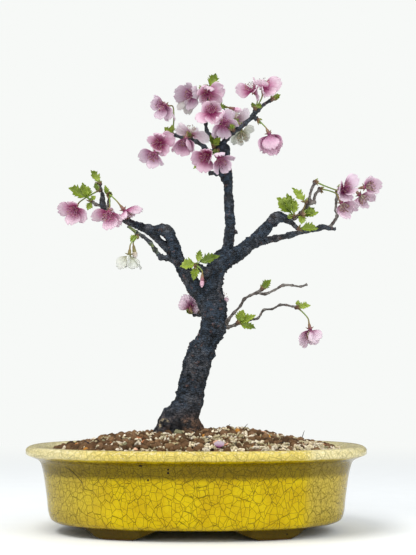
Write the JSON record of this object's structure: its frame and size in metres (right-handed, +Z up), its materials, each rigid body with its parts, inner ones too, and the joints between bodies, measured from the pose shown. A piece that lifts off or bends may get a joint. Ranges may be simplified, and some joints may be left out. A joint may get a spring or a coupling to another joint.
{
  "type": "cherry blossom bonsai in an oval pot",
  "caption": "Small flowering cherry bonsai with a leaning dark trunk and sparse pink blossoms, in a low oval yellow crackle-glazed pot of gritty soil.",
  "frame": {"origin": "on the surface that the feet stand on, under the middle of the whole plant's box", "axes": "+Z up, +X to the viewer's right along the pot's length, -Y towards the viewer of the plant's front"},
  "size_m": [0.3176, 0.2252, 0.4104],
  "materials": {
    "glaze": "glossy with a dark crackle",
    "screen": "matte",
    "grit": "matte, coarse grains of baked clay and pumice",
    "bark": "rough dark bark",
    "petal": "soft matte",
    "green": "satin leaf"
  },
  "bodies": {
    "root": {"pot": "glaze", "drain_screen_left": "screen", "drain_screen_right": "screen", "soil": "grit", "tree": "bark", "fallen_petal": "petal", "bloom_01": "petal", "bloom_02": "petal", "bloom_03": "petal", "bloom_04": "petal", "bloom_05": "petal", "bloom_06": "petal", "bloom_07": "petal", "bloom_08": "petal", "bloom_09": "petal", "bloom_10": "petal", "bloom_11": "petal", "bloom_12": "petal", "bloom_13": "petal", "bloom_14": "petal", "bloom_15": "petal", "bloom_16": "petal", "bloom_17": "petal", "bloom_18": "petal", "bloom_19": "petal", "bloom_20": "petal", "bloom_21": "petal", "bloom_22": "petal", "bloom_23": "petal", "bloom_24": "petal", "bloom_25": "petal", "bloom_26": "petal", "bloom_27": "petal", "bloom_28": "petal", "spray_01": "green", "spray_02": "green", "spray_03": "green", "spray_04": "green", "spray_05": "green", "spray_06": "green", "spray_07": "green", "spray_08": "green", "spray_09": "green", "spray_10": "green", "spray_11": "green", "spray_12": "green", "spray_13": "green", "spray_14": "green", "spray_15": "green", "spray_16": "green", "spray_17": "green", "spray_18": "green", "spray_19": "green", "spray_20": "green", "spray_21": "green", "spray_22": "green", "spray_23": "green", "spray_24": "green", "spray_25": "green", "spray_26": "green"}
  },
  "joints": []
}
